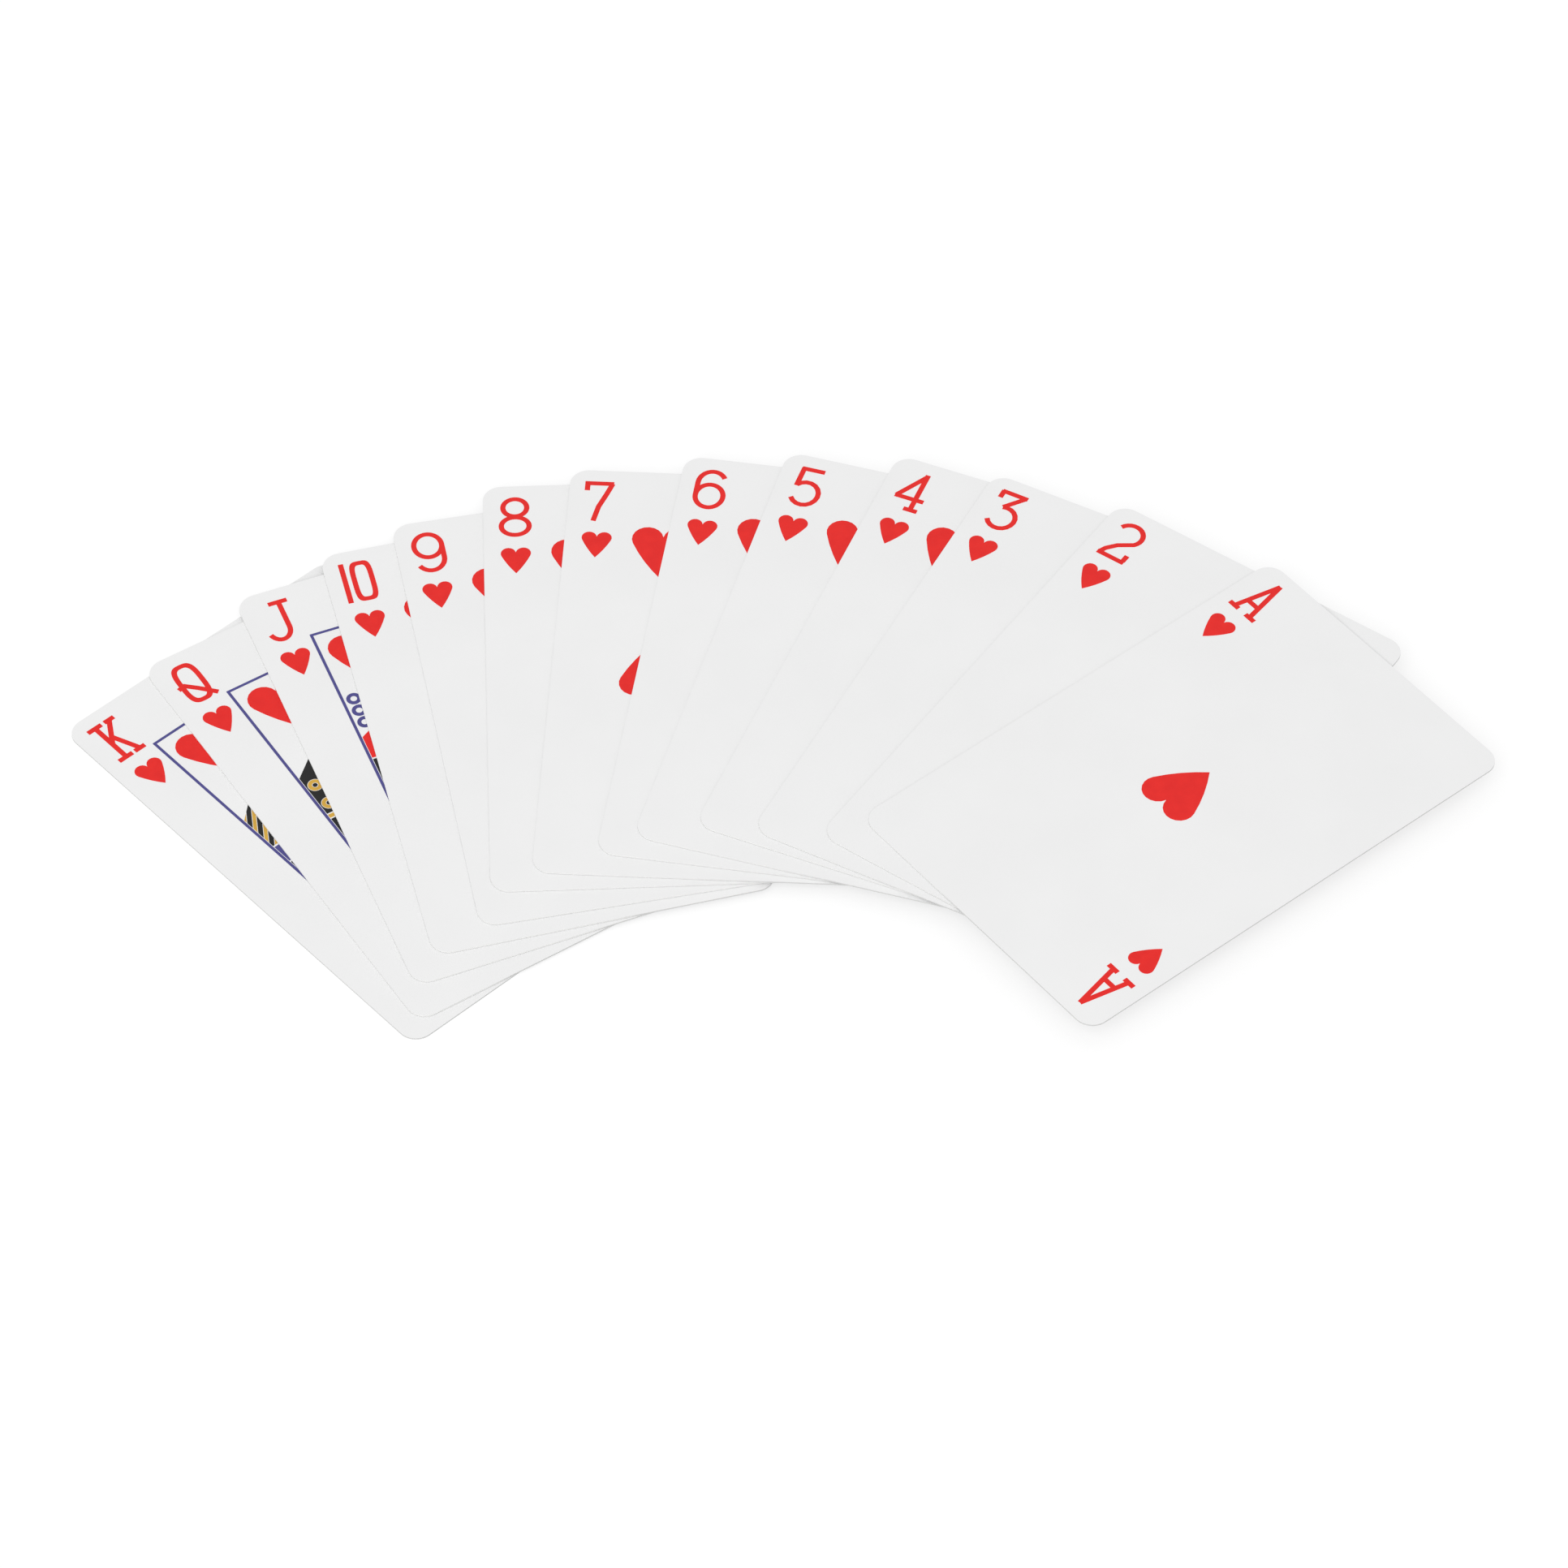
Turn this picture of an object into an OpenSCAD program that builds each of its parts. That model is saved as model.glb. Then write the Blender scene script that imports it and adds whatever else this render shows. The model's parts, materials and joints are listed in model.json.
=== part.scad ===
// A suit of playing cards laid face up in an arc: the thirteen hearts, king at the bottom and ace on top.
// Each card is one laminated sheet in a layer of its own. Its printed colours are thin films on its face.
// +Z is up, the cards lie flat, and the origin is the middle of the arc's outline on the table.

/* [Card] */
// Width of a card
card_w = 57; // [54:0.5:64]
// Height of a card
card_h = 89; // [86:0.5:96]
// Thickness of a card
card_t = 0.28; // [0.24:0.02:0.4]
// Radius of a card's corners
corner_r = 3.2; // [2:0.1:5]
// Thickness of a printed film
ink_t = 0.02; // [0.01:0.005:0.04]
// Air between a print and the card that lies over it
layer_gap = 0.06; // [0.05:0.01:0.2]

/* [Arc] */
// Distance from the arc's centre to the middle of a card that hasn't slipped
arc_r = 98; // [90:1:120]
// How much wider than shown the arc can be spread, as a share of each card's angle from the king
spread_more_share = 0.15; // [0:0.05:0.3]

/* [Corner index] */
// Width of an index letter or figure
glyph_w = 5.6; // [5:0.1:6]
// Height of an index letter or figure
glyph_h = 9.1; // [8:0.1:10]
// Width of the strokes of an index
stroke_w = 0.9; // [0.6:0.05:1]
// From the card's side edge to the middle of its index
index_in = 5.4; // [5:0.1:6]
// From the card's top edge to the middle of its index
index_down = 7.1; // [6.5:0.1:9]
// Gap between an index and the small heart under it
index_gap = 2.5; // [1.5:0.1:3]
// Width of the small heart
small_heart_w = 5.1; // [4:0.1:5.5]
// Height of the small heart
small_heart_h = 5.8; // [5:0.1:6.5]

/* [Pips] */
// Width of a pip
pip_w = 10.6; // [9:0.1:11]
// Height of a pip
pip_h = 11.6; // [10:0.1:13]
// From the card's middle to a side column of pips
column_out = 11.85; // [11.5:0.05:13]
// From the card's middle to the top row of pips
row_out = 26.1; // [25:0.1:29]

/* [Court cards] */
// Gap between an index and the frame beside it
frame_gap = 0.95; // [0.6:0.05:1.5]
// From the card's top edge to the frame
frame_down = 11.9; // [11:0.1:14]
// Width of the frame's line
frame_line = 0.5; // [0.3:0.05:0.8]
// Bare paper between neighbouring colours
colour_gap = 0.1; // [0.05:0.05:0.3]
// From the frame to the side of the pip in its corner
court_pip_side = 1.2; // [0.8:0.1:2]
// From the frame to the top of the pip in its corner
court_pip_down = 1.6; // [1:0.1:3]
// Width of a gold stripe on the king's robe
gold_stripe_w = 0.6; // [0.4:0.1:2]
// Width of a black stripe on the king's robe
black_stripe_w = 0.8; // [0.4:0.1:1.5]
// Radius of a flower on the queen's robe
flower_r = 1.3; // [1:0.1:1.4]
// Radius of a curl on the jack's shoulder
curl_r = 1.25; // [0.9:0.05:1.3]
// Width of the drawn lines of a figure
figure_line = 0.35; // [0.25:0.05:0.5]

/* [Hidden] */
RANKS = [
    "king", "queen", "jack", "ten", "nine", "eight", "seven", "six", "five", "four", "three", "two", "ace"
];
COURTS = [0, 1, 2];
COURT_COLOURS = ["blue", "gold", "black"];
CARD_NAMES = [for (r = RANKS) str(r, "_card")];
RED_NAMES = [for (r = RANKS) str(r, "_red_print")];
COURT_NAMES = [for (i = COURTS) [for (c = COURT_COLOURS) str(RANKS[i], "_", c, "_print")]];

// Bearing of each card's middle from the arc's centre, in degrees anticlockwise from +Y
BEARINGS = [38, 31.5, 24.6, 18.3, 11.8, 6.3, 0, -8.4, -14.7, -22.3, -29.5, -38.2, -46.5];
// Turn of each card, in degrees anticlockwise
TURNS = [42.5, 33, 22, 14.5, 11.5, 2.5, -3, -8.9, -16.5, -22.5, -27.5, -35, -51];
// How far each card has slipped outwards along its bearing, as a share of the arc's radius
slip_shares = [-0.045, -0.055, -0.045, -0.04, -0.02, 0, 0.005, 0.02, 0.025, 0.046, 0.05, 0.067, 0.055];
// Cards that lie with their other end up
TURNED_ROUND = ["seven", "ace"];

// Layers
layer_pitch = card_t + ink_t + layer_gap;
function layer_z(i) = i * layer_pitch;

// Places of the cards, first about the arc's centre and then about the middle of the whole outline
function arc_place(i) = arc_r * (1 + slip_shares[i]) * [-sin(BEARINGS[i]), cos(BEARINGS[i])];
function reach(w, h, a) =
    (w / 2 - corner_r) * abs(cos(a)) + (h / 2 - corner_r) * abs(sin(a)) + corner_r;
LEFT = min([for (i = [0 : len(RANKS) - 1]) arc_place(i)[0] - reach(card_w, card_h, TURNS[i])]);
RIGHT = max([for (i = [0 : len(RANKS) - 1]) arc_place(i)[0] + reach(card_w, card_h, TURNS[i])]);
FRONT = min([for (i = [0 : len(RANKS) - 1]) arc_place(i)[1] - reach(card_h, card_w, TURNS[i])]);
BACK = max([for (i = [0 : len(RANKS) - 1]) arc_place(i)[1] + reach(card_h, card_w, TURNS[i])]);
function card_place(i) = arc_place(i) - [LEFT + RIGHT, FRONT + BACK] / 2;

// Each card turns about its own pole, the one point about which a plain turn squares it onto the king
function closing_turn(i) = TURNS[0] - TURNS[i];
function spun(v, a) = [v[0] * cos(a) - v[1] * sin(a), v[0] * sin(a) + v[1] * cos(a)];
function square_up(d, c) = [d[0] - c * d[1], d[1] + c * d[0]] / 2;
function pole(i) =
    square_up(card_place(0) - spun(card_place(i), closing_turn(i)), 1 / tan(closing_turn(i) / 2));
for (i = [1 : len(RANKS) - 1]) {
    range = [-spread_more_share * closing_turn(i), closing_turn(i)];
    echo(hinge = RANKS[i], pole = pole(i), range = range);
}
echo(king_middle = card_place(0), outline = [RIGHT - LEFT, BACK - FRONT]);

// Index figures, in shares of half the index, measured to the middle of the strokes.
// A figure is a list of parts: an open stroke's points, or a closed ring's middle, half width, half height
// and squareness.
curve_steps = 14;
function sweep(from, to, steps) = [for (k = [0 : steps]) from + (to - from) * k / steps];
function arc_shares(x, y, rx, ry, from, to) =
    [for (a = sweep(from, to, curve_steps)) [x + rx * cos(a), y + ry * sin(a)]];
six_tail_shares = concat([[-1, -0.36]], arc_shares(0, 0.36, 1, 0.66, 180, 30));
king_shares = [
    [[-0.5, 1.05], [-0.5, -1.05]], [[-1.15, 1], [0.05, 1]], [[-1.15, -1], [0.05, -1]],
    [[0.3, 1], [1.15, 1]], [[0.25, -1], [1.15, -1]], [[-0.5, -0.12], [0.74, 1]], [[-0.12, 0.22], [0.74, -1]]
];
queen_shares = [[[-1.15, -0.08], [-0.6, 0], [0.15, -0.4], [1.15, -1]]];
jack_shares = [[[-0.2, 1], [1.2, 1]], concat([[0.56, 1]], arc_shares(-0.22, -0.42, 0.78, 0.58, 0, -160))];
ten_shares = [[[-0.98, 1.1], [-0.98, -1.1]]];
nine_shares = [-six_tail_shares];
seven_shares = [[[-1, 0.6], [-1, 1], [0.9, 1]], [[0.8, 1], [0.4, 0.38], [-0.08, -0.3], [-0.38, -1.1]]];
six_shares = [six_tail_shares];
five_shares = [
    [[-0.85, 1], [0.85, 1]], [[-0.7, 1.05], [-0.8, 0]], arc_shares(-0.02, -0.36, 1, 0.64, 140, -150)
];
four_shares = [
    [[0.46, 1.1], [0.46, -1.05]], [[0.46, 1], [-1, -0.4]], [[-1.1, -0.4], [1.1, -0.4]],
    [[-0.04, -1], [1, -1]]
];
three_shares = [
    [[-0.95, 0.62], [-0.95, 1.05]], [[-1.05, 1], [0.95, 1]], [[0.8, 1], [-0.34, 0.18]],
    arc_shares(0, -0.4, 1, 0.6, 110, -152)
];
two_shares = [
    concat(arc_shares(0, 0.44, 0.98, 0.56, 158, -38), [[-0.2, -0.3], [-0.76, -0.7], [-0.95, -1]]),
    [[-1.12, -1], [1.1, -1]],
    [[0.95, -0.95], [0.95, -0.58]]
];
ace_shares = [
    [[-0.8, -1.05], [0, 1.1]], [[0.8, -1.05], [0, 1.1]], [[-0.5, -0.4], [0.5, -0.4]],
    [[-1.28, -1], [-0.36, -1]], [[0.36, -1], [1.28, -1]]
];
ROUND = 2;
queen_ring_shares = [0, 0, 0.8, 1, 3.2];
ten_ring_shares = [0.33, 0, 0.64, 1, 4];
six_ring_shares = [0, -0.36, 1, 0.64, ROUND];
nine_ring_shares = [0, 0.36, 1, 0.64, ROUND];
eight_rings_shares = [[0, 0.52, 0.86, 0.48, ROUND], [0, -0.51, 1, 0.49, ROUND]];
FIGURES = [
    king_shares, concat(queen_shares, [queen_ring_shares]), jack_shares,
    concat(ten_shares, [ten_ring_shares]), concat(nine_shares, [nine_ring_shares]), eight_rings_shares,
    seven_shares,
    concat(six_shares, [six_ring_shares]), five_shares, four_shares, three_shares, two_shares, ace_shares
];

// Pips of the number cards, in shares of the way to the side column and to the top row
corner_shares = [[-1, 1], [1, 1], [-1, -1], [1, -1]];
middle_shares = [[-1, 0], [1, 0]];
inner_shares = [[-1, 1 / 3], [1, 1 / 3], [-1, -1 / 3], [1, -1 / 3]];
centre_shares = [[0, 0]];
ends_shares = [[0, 1], [0, -1]];
upper_shares = [[0, 1 / 2]];
lower_shares = [[0, -1 / 2]];
between_shares = [[0, 2 / 3], [0, -2 / 3]];
pips_shares = [
    [], [], [], concat(corner_shares, inner_shares, between_shares),
    concat(corner_shares, inner_shares, centre_shares),
    concat(corner_shares, middle_shares, upper_shares, lower_shares),
    concat(corner_shares, middle_shares, upper_shares), concat(corner_shares, middle_shares),
    concat(corner_shares, centre_shares), corner_shares, concat(ends_shares, centre_shares),
    ends_shares, centre_shares
];

// A heart: a round lobe's radius as a share of its width, and where the lobe runs into the side, in degrees
lobe_share = 0.252;
SHOULDER = -24;
lobe_steps = 10;
side_steps = 4;

// Court figures, upper half, in shares of half the space inside the frame.
// The lower half is the same turned round.
robe_shares = [
    [-1, 0.07], [-1, 0.3], [-0.8, 0.4], [-0.36, 0.5], [0.36, 0.5], [0.8, 0.4], [1, 0.3], [1, 0.07]
];
belt_shares = [[-1, -0.06], [-1, 0.06], [1, 0.06], [1, -0.06]];
collar_shares = [[-0.34, 0.515], [0.34, 0.515], [0.26, 0.57], [-0.26, 0.57]];
crown_shares = [
    [-0.3, 0.83], [-0.36, 0.97], [-0.18, 0.89], [0, 0.98], [0.18, 0.89], [0.36, 0.97], [0.3, 0.83]
];
cap_shares = [[-0.32, 0.87], [-0.28, 0.94], [0.1, 0.975], [0.36, 0.93], [0.32, 0.87]];
cap_band_shares = [[-0.32, 0.82], [-0.32, 0.86], [0.32, 0.86], [0.32, 0.82]];
hair_window_shares = [[-0.4, 0.58], [-0.4, 0.81], [0.4, 0.81], [0.4, 0.58]];
head_shares = [0, 0.69];
hair_size_shares = [0.3, 0.17];
face_size_shares = [0.21, 0.135];
eye_shares = [[-0.085, 0.705], [0.085, 0.705]];
eye_size_shares = [0.03, 0.009];
brow_shares = [[[-0.13, 0.73], [-0.04, 0.735]], [[0.04, 0.735], [0.13, 0.73]]];
nose_shares = [[[0, 0.7], [-0.03, 0.655], [0.015, 0.655]]];
mouth_shares = [[[-0.06, 0.62], [0.06, 0.62]]];
staff_foot_shares = [0.66, 0.47];
staff_head_shares = [0.66, 0.88];
queen_robe_shares = [
    [-1, 0.02], [-1, 0.3], [-0.8, 0.4], [-0.36, 0.5], [0.36, 0.5], [0.8, 0.4], [1, 0.3], [1, 0.02]
];
queen_belt_shares = [[-1, -0.012], [-1, 0.012], [1, 0.012], [1, -0.012]];
flower_shares = [
    [-0.92, 0.08], [-0.92, 0.22], [-0.66, 0.14], [-0.66, 0.29], [-0.4, 0.08], [-0.4, 0.22], [-0.4, 0.38],
    [-0.13, 0.14], [-0.13, 0.29], [0.13, 0.08], [0.13, 0.22], [0.13, 0.38], [0.4, 0.14], [0.4, 0.29],
    [0.4, 0.44], [0.66, 0.08], [0.66, 0.22], [0.92, 0.14]
];
flower_eye_share = 0.4;
jack_coat_shares = [[-1, 0.1], [-1, 0.25], [-0.36, 0.5], [0.36, 0.5], [1, 0.25], [1, 0.1]];
jack_front_shares = [[-0.16, 0.1], [-0.16, 0.5], [0.16, 0.5], [0.16, 0.1]];
jack_belt_shares = [[-1, -0.09], [-1, 0.09], [1, 0.09], [1, -0.09]];
curl_shares = [[-0.92, 0.345], [-0.92, 0.43], [-0.92, 0.515]];
curl_eye_share = 0.45;
STRIPE_LEAN = 35;

// Sizes that follow from the ones above
glyph_half = [glyph_w - stroke_w, glyph_h - stroke_w] / 2;
small_heart_down = index_down + glyph_h / 2 + index_gap + small_heart_h / 2;
frame_in = index_in + glyph_w / 2 + frame_gap;
frame_half = [card_w / 2 - frame_in, card_h / 2 - frame_down];
line_half = [frame_line, frame_line];
court_half = frame_half - line_half - [colour_gap, colour_gap];
court_pip = [
    -frame_half[0] + frame_line + court_pip_side + pip_w / 2,
    frame_half[1] - frame_line - court_pip_down - pip_h / 2
];
stripe_step = (gold_stripe_w + black_stripe_w + 2 * colour_gap) / cos(STRIPE_LEAN);
stripe_count = ceil(norm(court_half) / stripe_step);
stripe_reach = 2 * norm(frame_half);
curl_line = curl_r * (1 - curl_eye_share);
curl_middle = curl_r - curl_line / 2;
facets = 48;

// Outlines
function sized(shares, half) = [for (p = shares) [p[0] * half[0], p[1] * half[1]]];
function place(share, half) = [share[0] * half[0], share[1] * half[1]];
function unit(v) = v / norm(v);
function leftward(v) = [-v[1], v[0]];
function side_of(p, k) =
    let (
        before = leftward(unit(p[max(k, 1)] - p[max(k, 1) - 1])),
        after = leftward(unit(p[min(k, len(p) - 2) + 1] - p[min(k, len(p) - 2)])),
        middle = unit(before + after)
    ) middle / (middle * before);
module stroke(path, w) {
    last = len(path) - 1;
    polygon(concat(
        [for (k = [0 : last]) path[k] - side_of(path, k) * w / 2],
        [for (k = [last : -1 : 0]) path[k] + side_of(path, k) * w / 2]
    ));
}
function bulge(x, n) = sign(x) * pow(abs(x), 2 / n);
function oval_point(half, n, a) = [half[0] * bulge(cos(a), n), half[1] * bulge(sin(a), n)];
function oval(mid, half, n) = [for (k = [0 : facets - 1]) mid + oval_point(half, n, k * 360 / facets)];
module ring(mid, half, line, n) {
    difference() {
        polygon(oval(mid, half + [line, line] / 2, n));
        polygon(oval(mid, half - [line, line] / 2, n));
    }
}

// Heart with its point down: a side arc from the point up to the lobe, the lobe round to the cleft,
// then their mirror
function on_arc(mid, r, a) = mid + r * [cos(a), sin(a)];
function past_first(list) = [for (k = [1 : len(list) - 1]) list[k]];
function heart_right(w, h) =
    let (
        r = w * lobe_share,
        lobe = [w / 2 - r, h / 2 - r],
        tip = [0, -h / 2],
        u = [cos(SHOULDER), sin(SHOULDER)],
        d = tip - lobe,
        side_r = (d * d + r * r - 2 * r * (d * u)) / (2 * (r - d * u)),
        side_mid = lobe - (side_r - r) * u,
        cleft = acos(-lobe[0] / r),
        point = atan2(tip[1] - side_mid[1], tip[0] - side_mid[0])
    ) concat(
        [for (a = sweep(point, SHOULDER, side_steps)) on_arc(side_mid, side_r, a)],
        [for (a = past_first(sweep(SHOULDER, cleft, lobe_steps))) on_arc(lobe, r, a)]
    );
module heart(w, h) {
    right = heart_right(w, h);
    left = [for (k = [len(right) - 2 : -1 : 1]) [-right[k][0], right[k][1]]];
    polygon(concat(right, left));
}

// Shapes that both ends of a card carry
module both_ends() {
    children();
    rotate(180) children();
}
module figure_part(part) {
    if (is_num(part[0])) {
        mid = place([part[0], part[1]], glyph_half);
        half = place([part[2], part[3]], glyph_half);
        ring(mid, half, stroke_w, part[4]);
    } else {
        stroke(sized(part, glyph_half), stroke_w);
    }
}
module index(i) {
    translate([-card_w / 2 + index_in, card_h / 2 - index_down]) {
        for (part = FIGURES[i]) {
            figure_part(part);
        }
    }
    translate([-card_w / 2 + index_in, card_h / 2 - small_heart_down]) heart(small_heart_w, small_heart_h);
}
module pips(i) {
    for (s = pips_shares[i]) {
        translate(place(s, [column_out, row_out])) rotate(s[1] < 0 ? 180 : 0) heart(pip_w, pip_h);
    }
}

// Court figures, one colour at a time
module figure_line_work(paths) {
    for (p = paths) {
        stroke(sized(p, court_half), figure_line);
    }
}
module hair() {
    intersection() {
        difference() {
            polygon(oval(place(head_shares, court_half), place(hair_size_shares, court_half), ROUND));
            polygon(oval(place(head_shares, court_half), place(face_size_shares, court_half), ROUND));
        }
        polygon(sized(hair_window_shares, court_half));
    }
}
module face() {
    for (e = eye_shares) {
        polygon(oval(place(e, court_half), place(eye_size_shares, court_half), ROUND));
    }
    figure_line_work(brow_shares);
    figure_line_work(nose_shares);
}
module stripes(w, shift) {
    for (k = [-stripe_count : stripe_count]) {
        intersection() {
            polygon(sized(robe_shares, court_half));
            translate([k * stripe_step + shift, 0]) {
                rotate(-STRIPE_LEAN) square([w, stripe_reach], center = true);
            }
        }
    }
}
module staff() {
    head = place(staff_head_shares, court_half);
    stroke([place(staff_foot_shares, court_half), head - [0, curl_r]], figure_line);
    ring(head, [curl_r, curl_r], figure_line, ROUND);
}
module flowers(r) {
    for (s = flower_shares) {
        translate(place(s, court_half)) circle(r = r, $fn = facets);
    }
}
module frame_line_work() {
    difference() {
        square(2 * frame_half, center = true);
        square(2 * (frame_half - line_half), center = true);
    }
}
module court_blue(i) {
    frame_line_work();
    if (i == 0) {
        polygon(sized(belt_shares, court_half));
    }
    both_ends() {
        if (i == 1) {
            polygon(sized(collar_shares, court_half));
        }
        if (i == 2) {
            for (s = curl_shares) {
                ring(place(s, court_half), [curl_middle, curl_middle], curl_line, ROUND);
            }
        }
    }
}
module court_gold(i) {
    if (i == 1) {
        polygon(sized(queen_belt_shares, court_half));
    }
    both_ends() {
        staff();
        if (i < 2) {
            polygon(sized(crown_shares, court_half));
        }
        if (i == 0) {
            stripes(gold_stripe_w, 0);
        }
        if (i == 1) {
            difference() {
                flowers(flower_r - colour_gap);
                flowers(flower_r * flower_eye_share);
            }
        }
        if (i == 2) {
            polygon(sized(cap_band_shares, court_half));
            polygon(sized(jack_front_shares, court_half));
        }
        if (i > 0) {
            hair();
        }
    }
}
module court_black(i) {
    if (i == 2) {
        polygon(sized(jack_belt_shares, court_half));
    }
    both_ends() {
        face();
        if (i == 0) {
            hair();
            stripes(black_stripe_w, stripe_step / 2);
        }
        if (i == 1) {
            difference() {
                polygon(sized(queen_robe_shares, court_half));
                flowers(flower_r);
            }
            flowers(flower_r * flower_eye_share - colour_gap);
        }
    }
}
module corner_pips(margin) {
    both_ends() translate(court_pip) heart(pip_w + 2 * margin, pip_h + 2 * margin);
}
module clear_of_pips() {
    difference() {
        children();
        corner_pips(colour_gap);
    }
}
module court_red(i) {
    corner_pips(0);
    both_ends() {
        figure_line_work(mouth_shares);
        if (i == 0) {
            polygon(sized(collar_shares, court_half));
        }
        if (i == 2) {
            polygon(sized(collar_shares, court_half));
            polygon(sized(cap_shares, court_half));
            difference() {
                polygon(sized(jack_coat_shares, court_half));
                translate([-colour_gap, 0]) polygon(sized(jack_front_shares, court_half));
                translate([colour_gap, 0]) polygon(sized(jack_front_shares, court_half));
            }
        }
    }
}

// Sub-parts in their places
module dealt(i, lift) {
    translate([card_place(i)[0], card_place(i)[1], layer_z(i) + lift]) rotate(TURNS[i]) children();
}
function end_up(i) = len([for (r = TURNED_ROUND) if (r == RANKS[i]) r]) > 0 ? 180 : 0;
module film(i) {
    dealt(i, card_t) rotate(end_up(i)) linear_extrude(ink_t) children();
}
module card(i) {
    color("whitesmoke") dealt(i, 0) linear_extrude(card_t) {
        difference() {
            square([card_w, card_h], center = true);
            for (x = [-1, 1], y = [-1, 1]) {
                translate([x * (card_w / 2 - corner_r), y * (card_h / 2 - corner_r)]) corner_waste(x, y);
            }
        }
    }
}
module corner_waste(x, y) {
    difference() {
        translate([x, y] * corner_r) square(2 * corner_r, center = true);
        circle(r = corner_r, $fn = facets);
    }
}
module red_print(i) {
    color("crimson") film(i) {
        both_ends() index(i);
        pips(i);
        if (i < len(COURTS)) {
            court_red(i);
        }
    }
}
module blue_print(i) {
    color("slateblue") film(i) clear_of_pips() court_blue(i);
}
module gold_print(i) {
    color("goldenrod") film(i) clear_of_pips() court_gold(i);
}
module black_print(i) {
    color("black") film(i) clear_of_pips() court_black(i);
}

for (i = [0 : len(RANKS) - 1]) {
    card(i);
    red_print(i);
}
for (i = COURTS) {
    blue_print(i);
    gold_print(i);
    black_print(i);
}
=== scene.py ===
"""The looks of a suit of playing cards that lies face up in an arc.

The card stock's material is laid out in each card's own coordinates, and the inks' in the frame's.
"""
import json
import math

import bpy
import numpy as np
from mathutils import Matrix, Vector

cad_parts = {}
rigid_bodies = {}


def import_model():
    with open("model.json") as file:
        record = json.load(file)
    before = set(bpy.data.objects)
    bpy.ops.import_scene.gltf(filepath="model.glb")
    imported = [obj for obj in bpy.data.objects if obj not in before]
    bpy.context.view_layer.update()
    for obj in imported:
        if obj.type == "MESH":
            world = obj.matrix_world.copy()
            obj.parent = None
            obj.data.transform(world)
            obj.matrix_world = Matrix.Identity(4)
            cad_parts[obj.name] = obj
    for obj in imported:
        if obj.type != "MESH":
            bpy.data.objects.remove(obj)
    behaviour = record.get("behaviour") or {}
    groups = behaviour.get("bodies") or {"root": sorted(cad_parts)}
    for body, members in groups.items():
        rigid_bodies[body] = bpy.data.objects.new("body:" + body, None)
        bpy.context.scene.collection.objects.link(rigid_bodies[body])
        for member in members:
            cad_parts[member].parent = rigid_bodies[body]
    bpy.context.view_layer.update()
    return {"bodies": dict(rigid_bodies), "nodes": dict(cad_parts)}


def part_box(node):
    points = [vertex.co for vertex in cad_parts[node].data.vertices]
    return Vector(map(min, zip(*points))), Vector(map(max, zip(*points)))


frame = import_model()

MM = 0.001
PER_MM = 1 / MM
HALF = 0.5
WHITE = (1, 1, 1)
RANKS = list(frame["bodies"])
INKS = ["red", "blue", "gold", "black"]
SAME_POINT_DIGITS = 7

# Camera, at the photograph's angle
SENSOR = 36
LENS = 152.9
CAMERA_DISTANCE = 1.091
CAMERA_ELEVATION = math.radians(49.6)
CAMERA_AIM = Vector((0.63, -8.5, 0)) * MM
CAMERA_NEAR = 0.01
CAMERA_FAR = 20

# Noises: how many to a millimetre, their detail, and the span of a noise that is spread from 0 to 1
TOOTH = (2.4, 3.0)
TOOTH_STRENGTH = 0.05
TOOTH_DEPTH = 0.02 * MM
CLOUD = (0.06, 3.0)
CLOUD_SPAN = (0.35, 0.65)
LAY = (0.5, 4.0)
LAY_SPAN = (0.3, 0.7)

# Card stock, with its roughness at the lowest and the highest tooth
FACE_COLOUR = (0.84, 0.84, 0.84)
FACE_SHADE = (0.825, 0.825, 0.825)
STOCK_ROUGHNESS = (0.387, 0.71)
STOCK_SPECULAR = 0.3
SKIN_SHARE = 0.05
EDGE_COLOUR = (0.84, 0.84, 0.83)
CORE_COLOUR = (0.76, 0.76, 0.75)
CORE_HALF_SHARE = 0.08
BACK_COLOUR = (0.55, 0.03, 0.035)
BACK_BORDER_MM = 4.5
BACK_PITCH_MM = 4.2
BACK_LINE_SHARE = 0.12

# Inks, where they lie full and where they lie thin
INK_COLOURS = {
    "red": ((0.78, 0.018, 0.014), (0.72, 0.014, 0.012)),
    "blue": ((0.075, 0.07, 0.255), (0.065, 0.06, 0.22)),
    "gold": ((0.66, 0.4, 0.06), (0.58, 0.33, 0.045)),
    "black": ((0.006, 0.006, 0.006), (0.01, 0.01, 0.01)),
}
INK_ROUGHNESS = (0.278, 0.556)
INK_SPECULAR = 0.25

# Floor, sky and key lamp, in metres and watts
FLOOR_DROP = 0.02 * MM
FLOOR_HALF = 3.0
FLOOR_COLOUR = (0.3, 0.3, 0.3)
FLOOR_LIFT = 0.72
SKY_LIGHT = 0.7
SKY_SEEN = 1.0
KEY_PLACE = Vector((-0.6, -2.0, 2.2))
KEY_SIDE = 2.6
KEY_POWER = 50.0


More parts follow.
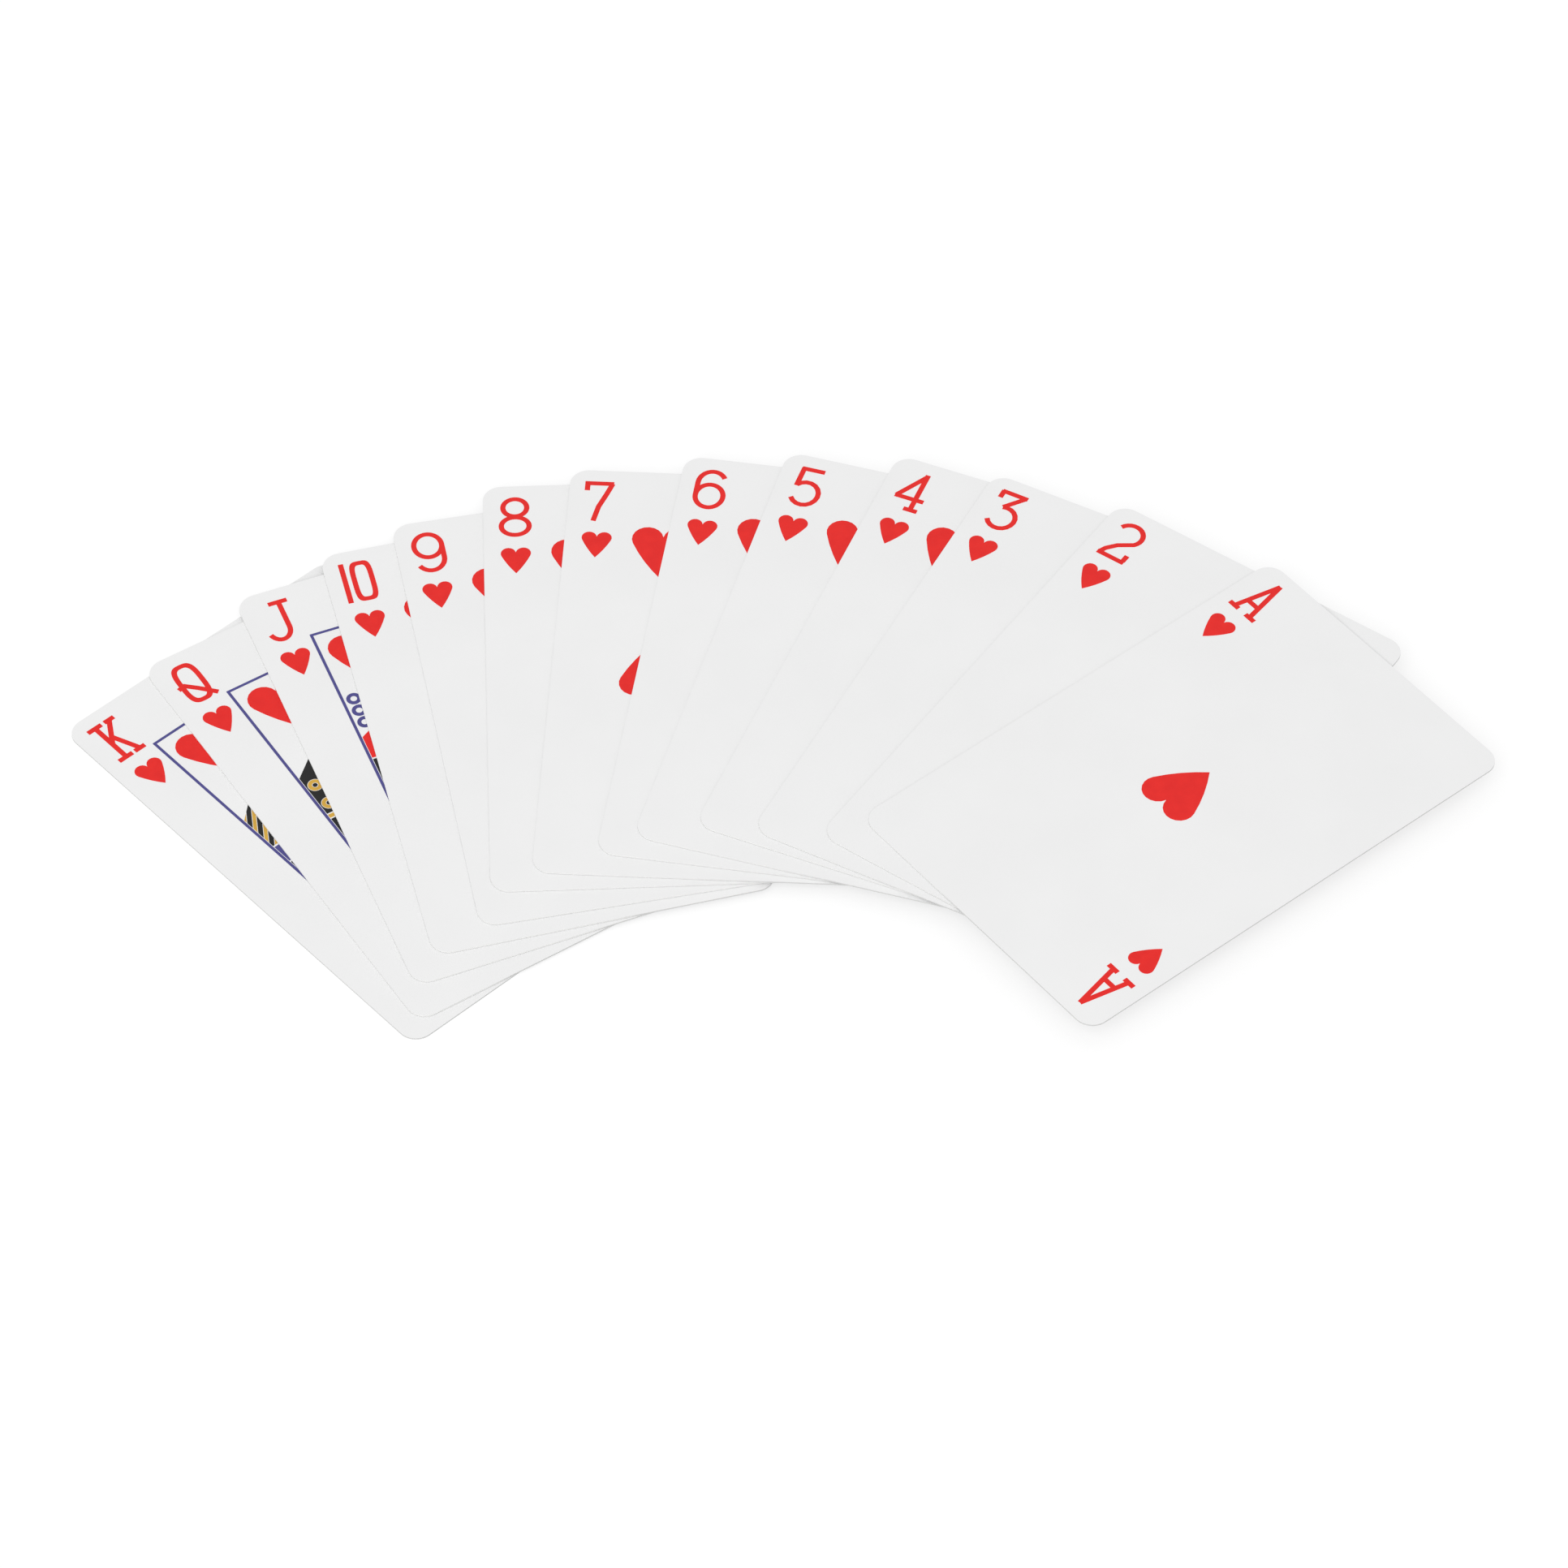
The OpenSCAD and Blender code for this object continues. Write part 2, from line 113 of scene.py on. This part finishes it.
class Graph:
    """Short forms for building one material's nodes."""

    def __init__(self, name):
        self.material = bpy.data.materials.new(name)
        self.material.use_nodes = True
        self.nodes = self.material.node_tree.nodes
        self.links = self.material.node_tree.links
        self.shader = self.nodes["Principled BSDF"]

    def feed(self, socket, value):
        if isinstance(value, bpy.types.NodeSocket):
            self.links.new(value, socket)
        else:
            socket.default_value = value

    def node(self, kind, inputs=None, **settings):
        made = self.nodes.new("ShaderNode" + kind)
        for key, value in settings.items():
            setattr(made, key, value)
        for key, value in (inputs or {}).items():
            self.feed(made.inputs[key], value)
        return made

    def math(self, operation, first, second=0.0):
        return self.node("Math", {0: first, 1: second}, operation=operation).outputs[0]

    def mix(self, share, first, second):
        made = self.node("Mix", data_type="RGBA")
        self.feed(made.inputs["Factor"], share)
        self.feed(made.inputs["A"], first)
        self.feed(made.inputs["B"], second)
        return made.outputs["Result"]

    def noise(self, where, per_mm, detail):
        inputs = {"Vector": where, "Scale": per_mm, "Detail": detail}
        return self.node("TexNoise", inputs).outputs["Fac"]

    def ramp(self, value, span=(0.0, 1.0), to=(0.0, 1.0)):
        inputs = {"Value": value, "From Min": span[0], "From Max": span[1], "To Min": to[0], "To Max": to[1]}
        return self.node("MapRange", inputs).outputs["Result"]

    def bump(self, height, strength, distance):
        inputs = {"Height": height, "Strength": strength, "Distance": distance}
        return self.node("Bump", inputs).outputs["Normal"]

    def set(self, **values):
        for key, value in values.items():
            self.feed(self.shader.inputs[key.replace("_", " ")], value)


def rgba(colour):
    return (*colour, 1.0)


def points(node):
    mesh = frame["nodes"][node].data
    return np.array([v.co for v in mesh.vertices], float)


def card_frame(rank):
    """Middle of a card's underside, its turn about +Z, and its width, height and thickness, in metres."""
    low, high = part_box(rank + "_card")
    middle = Vector(((low.x + high.x) / 2, (low.y + high.y) / 2, low.z))
    outline = np.unique(np.round(points(rank + "_card")[:, :2], SAME_POINT_DIGITS), axis=0)
    flat = outline - np.array(middle[:2])
    long_way = np.linalg.eigh(flat.T @ flat)[1][:, 1]
    long_way *= np.sign(long_way[1])
    turn = math.atan2(-long_way[0], long_way[1])
    across = flat @ np.array([long_way[1], -long_way[0]])
    size = Vector((np.ptp(across), np.ptp(flat @ long_way), high.z - low.z))
    return middle, turn, size


def card_place(graph, middle, turn):
    """Card coordinates in millimetres: x across, y up the card, z from its underside."""
    turned = Matrix.Rotation(-turn, 3, "Z")
    inputs = {
        "Vector": graph.node("TexCoord").outputs["Object"],
        "Scale": (PER_MM,) * 3,
        "Rotation": (0, 0, -turn),
        "Location": turned @ middle * -PER_MM,
    }
    return graph.node("Mapping", inputs).outputs["Vector"]


def frame_place(graph):
    """The frame's coordinates in millimetres."""
    inputs = {"Vector": graph.node("TexCoord").outputs["Object"], "Scale": (PER_MM,) * 3}
    return graph.node("Mapping", inputs).outputs["Vector"]


def face_colour(graph, where):
    """Coated paper, not quite even."""
    cloud = graph.ramp(graph.noise(where, *CLOUD), CLOUD_SPAN)
    return graph.mix(cloud, rgba(FACE_SHADE), rgba(FACE_COLOUR))


def back_colour(graph, across, up, size):
    """A lattice inside a plain border."""
    half_w = size.x * PER_MM / 2 - BACK_BORDER_MM
    half_h = size.y * PER_MM / 2 - BACK_BORDER_MM
    in_width = graph.math("LESS_THAN", graph.math("ABSOLUTE", across), half_w)
    in_height = graph.math("LESS_THAN", graph.math("ABSOLUTE", up), half_h)
    printed = graph.math("MULTIPLY", in_width, in_height)
    for operation in ("ADD", "SUBTRACT"):
        slant = graph.math("DIVIDE", graph.math(operation, across, up), BACK_PITCH_MM)
        off_line = graph.math("GREATER_THAN", graph.math("PINGPONG", slant, HALF), BACK_LINE_SHARE)
        printed = graph.math("MULTIPLY", printed, off_line)
    return graph.mix(printed, rgba(FACE_COLOUR), rgba(BACK_COLOUR))


def edge_colour(graph, level):
    """Paper plies with a slightly darker core line."""
    from_core = graph.math("ABSOLUTE", graph.math("SUBTRACT", level, HALF))
    core = graph.math("LESS_THAN", from_core, CORE_HALF_SHARE)
    return graph.mix(core, rgba(EDGE_COLOUR), rgba(CORE_COLOUR))


def card_stock(rank):
    graph = Graph(rank + "_card_stock")
    middle, turn, size = card_frame(rank)
    where = card_place(graph, middle, turn)
    across, up, height = graph.node("SeparateXYZ", {0: where}).outputs
    level = graph.math("DIVIDE", height, size.z * PER_MM)
    above_back = graph.math("GREATER_THAN", level, SKIN_SHARE)
    on_face = graph.math("GREATER_THAN", level, 1 - SKIN_SHARE)
    under_face = graph.mix(above_back, back_colour(graph, across, up, size), edge_colour(graph, level))
    grain = graph.noise(where, *TOOTH)
    graph.set(
        Base_Color=graph.mix(on_face, under_face, face_colour(graph, where)),
        Roughness=graph.ramp(grain, to=STOCK_ROUGHNESS),
        Normal=graph.bump(grain, TOOTH_STRENGTH, TOOTH_DEPTH),
        Specular_IOR_Level=STOCK_SPECULAR,
    )
    return graph.material


def ink(colour):
    graph = Graph(colour + "_ink")
    where = frame_place(graph)
    full, thin = INK_COLOURS[colour]
    lay = graph.ramp(graph.noise(where, *LAY), LAY_SPAN)
    grain = graph.noise(where, *TOOTH)
    graph.set(
        Base_Color=graph.mix(lay, rgba(full), rgba(thin)),
        Roughness=graph.ramp(grain, to=INK_ROUGHNESS),
        Normal=graph.bump(grain, TOOTH_STRENGTH, TOOTH_DEPTH),
        Specular_IOR_Level=INK_SPECULAR,
    )
    return graph.material


def dress(node, material):
    slots = frame["nodes"][node].data.materials
    slots.clear()
    slots.append(material)


def dress_cards():
    inks = {colour: ink(colour) for colour in INKS}
    for rank in RANKS:
        dress(rank + "_card", card_stock(rank))
        for colour in INKS:
            if f"{rank}_{colour}_print" in frame["nodes"]:
                dress(f"{rank}_{colour}_print", inks[colour])


def seen_directly(nodes, links):
    """1 for rays from the camera, and for those that gloss or glass sends on."""
    path = nodes.new("ShaderNodeLightPath")
    total = path.outputs["Is Camera Ray"]
    for ray in ("Is Glossy Ray", "Is Transmission Ray"):
        either = nodes.new("ShaderNodeMath")
        either.operation = "MAXIMUM"
        links.new(total, either.inputs[0])
        links.new(path.outputs[ray], either.inputs[1])
        total = either.outputs[0]
    return total


def make_floor():
    mesh = bpy.data.meshes.new("floor")
    r, z = FLOOR_HALF, -FLOOR_DROP
    mesh.from_pydata([(-r, -r, z), (r, -r, z), (r, r, z), (-r, r, z)], [], [(0, 1, 2, 3)])
    floor = bpy.data.objects.new("floor", mesh)
    bpy.context.scene.collection.objects.link(floor)
    graph = Graph("floor")
    lift = graph.math("MULTIPLY", seen_directly(graph.nodes, graph.links), FLOOR_LIFT)
    graph.set(
        Base_Color=rgba(FLOOR_COLOUR),
        Roughness=1.0,
        Specular_IOR_Level=0.0,
        Emission_Color=rgba(WHITE),
        Emission_Strength=lift,
    )
    mesh.materials.append(graph.material)


def make_world():
    world = bpy.data.worlds.new("studio")
    world.use_nodes = True
    bpy.context.scene.world = world
    nodes, links = world.node_tree.nodes, world.node_tree.links
    strength = nodes.new("ShaderNodeMapRange")
    strength.inputs["To Min"].default_value = SKY_LIGHT
    strength.inputs["To Max"].default_value = SKY_SEEN
    links.new(seen_directly(nodes, links), strength.inputs["Value"])
    background = nodes["Background"]
    background.inputs["Color"].default_value = rgba(WHITE)
    links.new(strength.outputs["Result"], background.inputs["Strength"])


def make_key():
    lamp = bpy.data.lights.new("key", "AREA")
    lamp.shape = "SQUARE"
    lamp.size = KEY_SIDE
    lamp.energy = KEY_POWER
    key = bpy.data.objects.new("key", lamp)
    key.location = KEY_PLACE
    key.rotation_euler = (-KEY_PLACE).to_track_quat("-Z", "Y").to_euler()
    bpy.context.scene.collection.objects.link(key)


def make_camera():
    data = bpy.data.cameras.new("camera")
    data.sensor_width = SENSOR
    data.lens = LENS
    data.clip_start = CAMERA_NEAR
    data.clip_end = CAMERA_FAR
    look = Vector((0, math.cos(CAMERA_ELEVATION), -math.sin(CAMERA_ELEVATION)))
    camera = bpy.data.objects.new("camera", data)
    camera.location = CAMERA_AIM - CAMERA_DISTANCE * look
    camera.rotation_euler = look.to_track_quat("-Z", "Y").to_euler()
    bpy.context.scene.collection.objects.link(camera)
    bpy.context.scene.camera = camera


dress_cards()
make_floor()
make_world()
make_key()
make_camera()
bpy.context.scene.view_settings.view_transform = "Standard"
